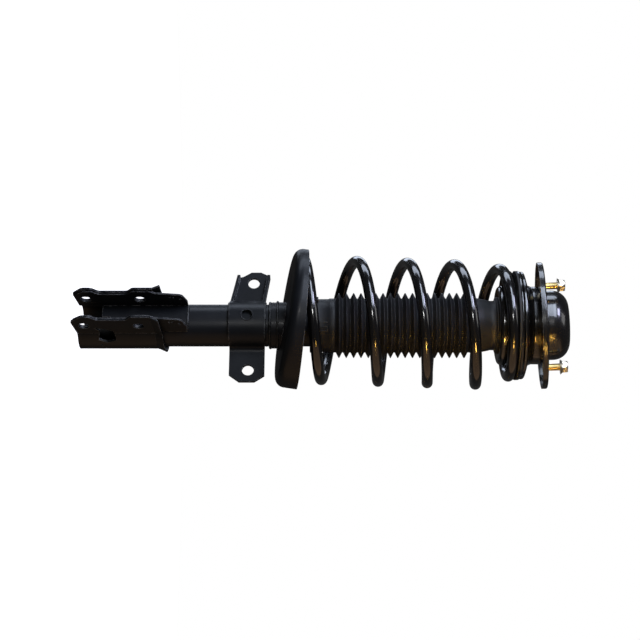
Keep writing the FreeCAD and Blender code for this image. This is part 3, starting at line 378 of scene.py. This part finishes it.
def sweep(points, radii, sides, closed=False):
    """Vertices and faces of a tube along points, with its frame carried along without twist."""
    count = len(points)
    verts, faces = [], []
    ahead = [points[(i + 1) % count] if closed or i + 1 < count else points[i] for i in range(count)]
    behind = [points[i - 1] if closed or i else points[i] for i in range(count)]
    tangents = [(a - b).normalized() for a, b in zip(ahead, behind)]
    across = tangents[0].orthogonal().normalized()
    for i, (point, tangent) in enumerate(zip(points, tangents)):
        across = (across - tangent * across.dot(tangent)).normalized()
        other = tangent.cross(across)
        for side in range(sides):
            angle = 2 * math.pi * side / sides
            verts.append(point + (across * math.cos(angle) + other * math.sin(angle)) * radii[i])
    rings = count if closed else count - 1
    for i in range(rings):
        here, there = i * sides, (i + 1) % count * sides
        for side in range(sides):
            follower = (side + 1) % sides
            faces.append((here + side, here + follower, there + follower, there + side))
    if not closed:
        faces.append(tuple(range(sides))[::-1])
        faces.append(tuple(range((count - 1) * sides, count * sides)))
    return verts, faces


# ---------------------------------------------------------------- coil spring

WIRE_RADIUS = 6.75 * MM
COIL_MEAN = 71.6 * MM
COIL_END = 60.7 * MM
COIL_TURNS = 5.5
ON_PAN = 0.5
ON_LEDGE = 5.0
DRAWN_FROM = 4.2
HEADING = math.radians(27.0)
REST_GAP = 0.3 * MM
COIL_STATIONS = [-268.1, -230.5, -199.7, -169.5, -140.3, -112.3, -81.8, -56.8]


def leaning(angle, heading, base):
    """A frame at base whose Z axis leans by angle towards the heading, all angles in degrees."""
    side = Vector((-math.sin(math.radians(heading)), math.cos(math.radians(heading)), 0))
    return Matrix.Translation(base) @ Matrix.Rotation(math.radians(angle), 4, side)


SPRING_PIVOT = -60.0
SPRING_FRAME = leaning(4.05, 90.0, Vector((0, 0, SPRING_PIVOT * MM)))
PAN_FLOOR = -12.5 * MM
PAN_PAD = 2.2 * MM
PAN_FRAME = leaning(10.0, 57.0, Vector((0, -18.0 * MM, -298.8 * MM)))
LEDGE_FRAME = Matrix.Translation((0, 0, -37.2 * MM))


def resting_height(turns, place, clearance):
    """Height along the spring's axis at which the wire lies this far above a plane."""
    angle = HEADING + 2 * math.pi * turns
    radius = coil_radius(turns)
    start = SPRING_FRAME @ Vector((radius * math.cos(angle), radius * math.sin(angle), 0))
    axis = SPRING_FRAME.to_3x3() @ Vector((0, 0, 1))
    normal = place.to_3x3() @ Vector((0, 0, 1))
    return (clearance - normal.dot(start - place.translation)) / normal.dot(axis)


def on_pan(turns):
    """Height of the wire's centre where it lies on the pan's pad."""
    return resting_height(turns, PAN_FRAME, PAN_FLOOR + PAN_PAD + WIRE_RADIUS + REST_GAP)


def on_ledge(turns):
    """Height of the wire's centre where it lies against the upper pad."""
    return resting_height(turns, LEDGE_FRAME, -WIRE_RADIUS - REST_GAP)


def coil_height(turns):
    """Height of the wire's centre along the spring's axis, joined smoothly between its stations."""
    if turns <= ON_PAN:
        return on_pan(turns)
    if turns >= ON_LEDGE:
        return on_ledge(turns)
    heights = [on_pan(ON_PAN)] + [(height - SPRING_PIVOT) * MM for height in COIL_STATIONS]
    heights.append(on_ledge(ON_LEDGE))
    halves = (turns - ON_PAN) * 2
    number = min(int(halves), len(heights) - 2)
    share = halves - number
    low, high = heights[number], heights[number + 1]
    nudge = 0.01
    leaving = (on_pan(ON_PAN) - on_pan(ON_PAN - nudge)) / nudge / 2
    arriving = (on_ledge(ON_LEDGE + nudge) - on_ledge(ON_LEDGE)) / nudge / 2
    if number:
        leaving = (high - heights[number - 1]) / 2
    if number + 2 < len(heights):
        arriving = (heights[number + 2] - low) / 2
    blend = 3 * share**2 - 2 * share**3
    ends = leaving * (share**3 - 2 * share**2 + share) + arriving * (share**3 - share**2)
    return low + (high - low) * blend + ends


def coil_radius(turns):
    """Mean radius of the coil, drawn in before it meets the ledge."""
    share = min(max((turns - DRAWN_FROM) / (ON_LEDGE - DRAWN_FROM), 0.0), 1.0)
    drawn = share * share * (3 - 2 * share)
    return COIL_MEAN + (COIL_END - COIL_MEAN) * drawn


def coil_point(turns):
    """A point on the wire's centre line."""
    angle = HEADING + 2 * math.pi * turns
    radius = coil_radius(turns)
    return SPRING_FRAME @ Vector((radius * math.cos(angle), radius * math.sin(angle), coil_height(turns)))


def make_coil_spring():
    """The wire of the spring, with its ends cut square and slightly broken at the edge."""
    steps_per_turn = 96
    steps = int(COIL_TURNS * steps_per_turn)
    points = [coil_point(COIL_TURNS * step / steps) for step in range(steps + 1)]
    radii = [WIRE_RADIUS] * len(points)
    radii[0] = radii[-1] = WIRE_RADIUS * 0.86
    verts, faces = sweep(points, radii, 32)
    spring = mesh_object("spring_coils", verts, faces, COIL_PAINT, "spring_seat")
    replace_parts(spring, "coil_spring")
    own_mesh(spring)
    return spring


# ---------------------------------------------------------------- dust boot

CUFF_RADIUS = 32.8 * MM
CUFF_LOW = -284.0 * MM
CUFF_HIGH = -253.2 * MM
BELLOWS_HIGH = -93.0 * MM
PEAK = 39.5 * MM
VALLEY = 32.5 * MM
FOLDS = 18
WALL = 1.8 * MM


def closed_shell(outer, wall):
    """The profile of a thin wall whose outside is outer."""
    return outer + [(radius - wall, height) for radius, height in reversed(outer)]


def make_bellows():
    """Folded middle of the boot: nearly straight flanks between a blunt crest and a blunt root."""
    pitch = (BELLOWS_HIGH - CUFF_HIGH) / FOLDS
    shape = [(0.0, 0.0), (0.06, 0.04), (0.14, 0.20), (0.30, 0.60), (0.43, 0.91), (0.48, 0.99)]
    shape += [(0.52, 0.99), (0.57, 0.91), (0.70, 0.60), (0.86, 0.20), (0.94, 0.04)]
    profile = []
    for fold in range(FOLDS):
        for along, out in shape:
            profile.append((VALLEY + (PEAK - VALLEY) * out, CUFF_HIGH + pitch * (fold + along)))
    profile.append((VALLEY, BELLOWS_HIGH))
    verts, faces = lathe(closed_shell(profile, WALL), 160)
    rubber = MATERIALS["boot_rubber"]
    bellows = mesh_object("boot_bellows", verts, faces, rubber, "spring_seat")
    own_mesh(bellows)
    return bellows


def make_boot_cuff():
    """Plain cuff at the boot's lower end, with a rolled lip and a step below the folds."""
    outer = [
        (CUFF_RADIUS - 0.6 * MM, CUFF_LOW),
        (CUFF_RADIUS - 0.1 * MM, CUFF_LOW + 0.5 * MM),
        (CUFF_RADIUS, CUFF_LOW + 2.0 * MM),
        (CUFF_RADIUS - 0.8 * MM, CUFF_LOW + 3.0 * MM),
        (CUFF_RADIUS - 0.8 * MM, CUFF_HIGH - 8.0 * MM),
        (CUFF_RADIUS - 0.1 * MM, CUFF_HIGH - 7.2 * MM),
        (CUFF_RADIUS, CUFF_HIGH - 2.0 * MM),
        (VALLEY, CUFF_HIGH),
    ]
    verts, faces = lathe(closed_shell(outer, WALL), 128)
    cuff = mesh_object("boot_cuff", verts, faces, MATERIALS["boot_rubber"], "strut")
    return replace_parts(cuff, "dust_boot")


def make_boot_neck():
    """Shoulder and neck at the boot's upper end, with the flange under the spring seat."""
    flange = 34.5 * MM
    shoulder = 34.2 * MM
    neck = 29.9 * MM
    top = -58.3 * MM
    outer = [
        (VALLEY, BELLOWS_HIGH),
        (VALLEY + 0.4 * MM, BELLOWS_HIGH + 2.5 * MM),
        (shoulder - 0.5 * MM, BELLOWS_HIGH + 4.2 * MM),
        (shoulder, BELLOWS_HIGH + 5.2 * MM),
        (shoulder, BELLOWS_HIGH + 8.0 * MM),
        (shoulder - 0.8 * MM, BELLOWS_HIGH + 9.4 * MM),
        (neck + 0.6 * MM, BELLOWS_HIGH + 24.5 * MM),
        (neck, BELLOWS_HIGH + 26.0 * MM),
        (neck, top - 3.0 * MM),
        (neck + 0.8 * MM, top - 2.0 * MM),
        (flange - 0.6 * MM, top - 2.0 * MM),
        (flange, top - 1.4 * MM),
        (flange, top),
    ]
    inner = [(radius - WALL, height) for radius, height in outer[:9]]
    inner.append((neck - WALL, top))
    verts, faces = lathe(outer + inner[::-1], 128)
    return mesh_object("boot_neck", verts, faces, MATERIALS["boot_rubber"], "spring_seat")


# ---------------------------------------------------------------- small details


def curved_block(name, radii, angles, heights, material, body):
    """A block bent round Z between two radii, two angles in degrees and two heights, chamfered outside."""
    steps = 8
    chamfer = min(0.4 * MM, (radii[1] - radii[0]) / 2)
    inner, outer = radii
    low, high = heights
    ring = [(inner, low), (outer - chamfer, low), (outer, low + chamfer), (outer, high - chamfer)]
    ring += [(outer - chamfer, high), (inner, high)]
    verts, faces = [], []
    count = len(ring)
    for step in range(steps + 1):
        angle = math.radians(angles[0] + (angles[1] - angles[0]) * step / steps)
        for radius, height in ring:
            verts.append(Vector((radius * math.cos(angle), radius * math.sin(angle), height)))
    for step in range(steps):
        for i in range(count):
            j = (i + 1) % count
            base = step * count
            faces.append((base + i, base + j, base + count + j, base + count + i))
    faces.append(tuple(range(count))[::-1])
    faces.append(tuple(range(steps * count, steps * count + count)))
    block = mesh_object(name, verts, faces, material, body)
    block.data.polygons.foreach_set("use_smooth", [False] * len(block.data.polygons))
    return block


FACING = -63.0
TUBE_RADIUS = 25.4 * MM
COLLAR_RADIUS = 27.8 * MM
COLLAR_LOW = -331.0 * MM
CLAMP_SLOPE = math.tan(math.radians(4.3))
STRAP_RADIUS = 29.35 * MM
STRAP_HOLE = 7.0 * MM
STRAP_HOLE_HEIGHT = -359.25 * MM


def make_boot_marks():
    """Raised ribs moulded on the cuff and the tab at its lower end."""
    rubber = MATERIALS["boot_rubber"]
    for number, angle in enumerate((-8.5, 1.0, 10.5)):
        angles = (FACING + angle, FACING + angle + 2.2)
        span = (-275.0 * MM, -262.5 * MM)
        radii = (31.0 * MM, 32.75 * MM)
        curved_block(f"cuff_rib{number}", radii, angles, span, rubber, "strut")
    joint = (FACING + 1.0, FACING + 12.7)
    high = (-264.5 * MM, -262.5 * MM)
    curved_block("cuff_rib_joint", (31.0 * MM, 32.7 * MM), joint, high, rubber, "strut")
    tab = (-281.0 * MM, -273.5 * MM)
    curved_block("cuff_tab", (32.0 * MM, 35.8 * MM), (-138.0, -122.0), tab, rubber, "strut")


def rough_bead(name, points, radius, seed, closed=False):
    """A weld bead along points, with ripples across it and lumps along it."""
    radii = []
    for i, point in enumerate(points):
        lump = noise.noise(point * 260.0 + Vector((seed, 0, 0)))
        ripple = math.sin(i * 1.9) * 0.08
        radii.append(radius * (1 + ripple + 0.28 * lump))
    if not closed:
        radii[0] = radii[-1] = radius * 0.3
    verts, faces = sweep(points, radii, 12, closed)
    return mesh_object(name, verts, faces, WELD, "strut")


def arc_points(radius, height, start, stop, steps, slope=0.0):
    """Points round Z between two angles in degrees; slope lifts them along Y."""
    points = []
    for step in range(steps + 1):
        angle = math.radians(start + (stop - start) * step / steps)
        across, along = radius * math.cos(angle), radius * math.sin(angle)
        points.append(Vector((across, along, height + slope * along)))
    return points


def make_welds():
    """Beads that hold the collar, the ear bracket, the clamp and the lower seat on the tube."""
    around = arc_points(TUBE_RADIUS + 1.6 * MM, -331.6 * MM, 0, 360, 150)[:-1]
    rough_bead("weld_collar", around, 1.7 * MM, 3.0, closed=True)
    seat_bead = arc_points(TUBE_RADIUS + 3.1 * MM, -322.6 * MM, 0, 360, 150)[:-1]
    rough_bead("weld_seat", seat_bead, 1.3 * MM, 7.0, closed=True)
    for name, height, seed in (("low", -381.0, 11.0), ("high", -337.6, 13.0)):
        points = arc_points(TUBE_RADIUS + 1.2 * MM, height * MM, -160, -20, 64)
        rough_bead(f"weld_ear_{name}", points, 1.5 * MM, seed)
    points = arc_points(TUBE_RADIUS + 1.0 * MM, -429.6 * MM, -128, -52, 40)
    rough_bead("weld_liner", points, 1.5 * MM, 17.0)
    points = arc_points(TUBE_RADIUS + 1.6 * MM, -466.0 * MM, 12, 168, 70, CLAMP_SLOPE)
    rough_bead("weld_clamp", points, 1.7 * MM, 19.0)


def make_spatter():
    """Drops of weld spatter round the collar, spread by the golden angle and the golden ratio."""
    verts, faces = [], []
    drops = 34
    golden_angle = 2.399963
    golden_ratio = 0.618034
    for number in range(drops):
        turn = number * golden_angle
        drop = (0.25 + 0.35 * (noise.noise(Vector((number * 1.7, 0.3, 0))) * 0.5 + 0.5)) * MM
        height = (-321.0 - 16.0 * ((number * golden_ratio) % 1.0)) * MM
        radius = COLLAR_RADIUS if height > COLLAR_LOW else TUBE_RADIUS
        centre = Vector((radius * math.cos(turn), radius * math.sin(turn), height))
        ball = bmesh.new()
        bmesh.ops.create_icosphere(ball, subdivisions=2, radius=drop)
        first = len(verts)
        verts.extend(centre + vert.co for vert in ball.verts)
        faces.extend(tuple(first + vert.index for vert in face.verts) for face in ball.faces)
        ball.free()
    return mesh_object("weld_spatter", verts, faces, WELD, "strut")


def make_strap_lip():
    """Pierced lip round the hole in the middle of the ear bracket's strap."""
    points = []
    steps = 48
    for step in range(steps):
        angle = 2 * math.pi * step / steps
        across = STRAP_HOLE * math.cos(angle)
        depth = math.sqrt(STRAP_RADIUS**2 - across**2)
        points.append(Vector((across, -depth, STRAP_HOLE_HEIGHT + STRAP_HOLE * math.sin(angle))))
    verts, faces = sweep(points, [0.75 * MM] * len(points), 12, True)
    return mesh_object("strap_lip", verts, faces, MATERIALS["satin_paint"], "strut")


MOUNT_TILT = Quaternion((1, 0, 0), math.radians(5.0))
STUD_COUNT = 3
STUD_CIRCLE = 56.0
THREAD_PITCH = 1.25
THREAD_SPANS = ((5.0, 14.6, 3.98), (23.9, 24.6, 3.3))


def thread_points(foot, low, high, radius):
    """A helix round a stud from one height to another, all in millimetres, in the tilted mount."""
    turns = (high - low) / THREAD_PITCH
    steps = max(int(turns * 24), 24)
    points = []
    for step in range(steps + 1):
        share = step / steps
        angle = 2 * math.pi * (high - low) / THREAD_PITCH * share
        spot = Vector((radius * math.cos(angle), radius * math.sin(angle), low + (high - low) * share))
        points.append(MOUNT_TILT @ (foot + spot * MM))
    return points


def make_stud_threads():
    """Rolled thread along each tower stud, below and above its nut."""
    for number in range(STUD_COUNT):
        heading = 2 * math.pi * number / STUD_COUNT
        foot = Vector((STUD_CIRCLE * math.cos(heading), STUD_CIRCLE * math.sin(heading), 0)) * MM
        for part, (low, high, radius) in enumerate(THREAD_SPANS):
            points = thread_points(foot, low, high, radius)
            radii = [0.38 * MM] * len(points)
            radii[0] = radii[-1] = 0.1 * MM
            verts, faces = sweep(points, radii, 6)
            name = f"stud_thread{number}_{part}"
            mesh_object(name, verts, faces, MATERIALS["yellow_zinc"], "top_mount")


def make_seat_tab():
    """Locating tab at the upper seat's edge."""
    gloss = MATERIALS["gloss_paint"]
    radii = (47.5 * MM, 53.0 * MM)
    heights = (-52.5 * MM, -47.5 * MM)
    curved_block("seat_tab", radii, (-149.0, -144.0), heights, gloss, "spring_seat")


# ---------------------------------------------------------------- camera and light

VIEW_HEADING = math.radians(27.0)
TOWARDS_CAMERA = Vector((math.sin(VIEW_HEADING), -math.cos(VIEW_HEADING), 0))
SIDE_UP = Vector((-math.cos(VIEW_HEADING), -math.sin(VIEW_HEADING), 0))
AXIS_UP = Vector((0, 0, 1))
MIDDLE = Vector((0, 0, -0.2716)) + SIDE_UP * 0.0067
CAMERA_DISTANCE = 1.936
FLOOR_RADIUS = 1.6
FLOOR_DROP = 12 * MM


def aimed(right, up, back):
    """A rotation whose local axes are these three directions."""
    return Matrix((right, up, back)).transposed().to_quaternion()


def make_camera():
    """Long lens square to the damper axis, rolled so that the top mount is at the picture's right."""
    lens = bpy.data.cameras.new("camera")
    lens.lens = 90.0
    lens.sensor_width = 36.0
    camera = bpy.data.objects.new("camera", lens)
    camera.location = MIDDLE + TOWARDS_CAMERA * CAMERA_DISTANCE
    camera.rotation_mode = "QUATERNION"
    camera.rotation_quaternion = aimed(AXIS_UP, SIDE_UP, TOWARDS_CAMERA)
    bpy.context.scene.collection.objects.link(camera)
    bpy.context.scene.camera = camera


def make_light(name, offset, size, power, colour, spread=180.0, aim=0.0):
    """A rectangular soft light that faces the axis, aim metres above the object's middle."""
    lamp = bpy.data.lights.new(name, "AREA")
    lamp.shape = "RECTANGLE"
    lamp.size, lamp.size_y = size
    lamp.energy = power
    lamp.color = colour
    lamp.spread = math.radians(spread)
    light = bpy.data.objects.new(name, lamp)
    light.location = MIDDLE + offset
    back = (offset - AXIS_UP * aim).normalized()
    right = (AXIS_UP - back * AXIS_UP.dot(back)).normalized()
    light.rotation_mode = "QUATERNION"
    light.rotation_quaternion = aimed(right, back.cross(right), back)
    bpy.context.scene.collection.objects.link(light)


def make_lights():
    """Cool lights over the upper side, a small front light, a narrow gold beam and brown from below."""
    cool = (0.74, 0.83, 1.0)
    white = (1.0, 1.0, 1.0)
    blue = (0.70, 0.72, 1.0)
    gold = (1.0, 0.55, 0.10)
    brown = (1.0, 0.62, 0.36)
    key_place = SIDE_UP * 1.05 + TOWARDS_CAMERA * 0.85 + AXIS_UP * 0.45
    make_light("key", key_place, (0.45, 1.1), 13, cool)
    make_light("rim", SIDE_UP * 1.4 + TOWARDS_CAMERA * -0.35, (1.6, 0.5), 10, cool)
    side_place = SIDE_UP * 0.85 + TOWARDS_CAMERA * 0.75 + AXIS_UP * 0.95
    make_light("side", side_place, (0.3, 0.5), 9, blue)
    make_light("front", SIDE_UP * 0.36 + TOWARDS_CAMERA * 1.55, (0.22, 0.20), 3.6, white)
    warm_aim = 0.18
    warm_place = SIDE_UP * -1.0 + TOWARDS_CAMERA * 1.1 + AXIS_UP * warm_aim
    make_light("warm", warm_place, (0.045, 0.46), 0.26, gold, spread=18.0, aim=warm_aim)
    make_light("under", SIDE_UP * -1.0 + TOWARDS_CAMERA * 0.2, (2.2, 1.3), 3.2, brown)
    make_light("back", TOWARDS_CAMERA * -1.5 + SIDE_UP * 0.8, (1.2, 0.4), 3, cool)
    top_place = AXIS_UP * 1.5 + TOWARDS_CAMERA * 0.5 + SIDE_UP * 0.4
    make_light("top", top_place, (0.6, 0.6), 2, white)


def make_world():
    """White to the camera, and a dim even grey to everything it lights."""
    world = bpy.data.worlds.new("studio")
    world.use_nodes = True
    tree = world.node_tree
    background = tree.nodes["Background"]
    seen = tree.nodes.new("ShaderNodeLightPath")
    level = tree.nodes.new("ShaderNodeMapRange")
    level.inputs["To Min"].default_value = 0.04
    level.inputs["To Max"].default_value = 1.0
    tree.links.new(seen.outputs["Is Camera Ray"], level.inputs["Value"])
    tree.links.new(level.outputs["Result"], background.inputs["Strength"])
    background.inputs["Color"].default_value = grey(1.0)
    bpy.context.scene.world = world


def make_floor():
    """Round floor just under the lowest point of the object."""
    disc = bmesh.new()
    bmesh.ops.create_circle(disc, cap_ends=True, segments=96, radius=FLOOR_RADIUS)
    mesh = bpy.data.meshes.new("floor")
    disc.to_mesh(mesh)
    disc.free()
    floor = bpy.data.objects.new("floor", mesh)
    floor.location.z = cad_box[0][2] - FLOOR_DROP
    mesh.materials.append(pale_floor("floor"))
    floor.visible_diffuse = False
    floor.visible_glossy = False
    bpy.context.scene.collection.objects.link(floor)


# ---------------------------------------------------------------- make everything

bpy.context.scene.view_settings.view_transform = "Standard"
dress_frame()
make_coil_spring()
make_bellows()
make_boot_cuff()
make_boot_neck()
make_boot_marks()
make_welds()
make_spatter()
make_strap_lip()
make_stud_threads()
make_seat_tab()
make_camera()
make_lights()
make_world()
make_floor()
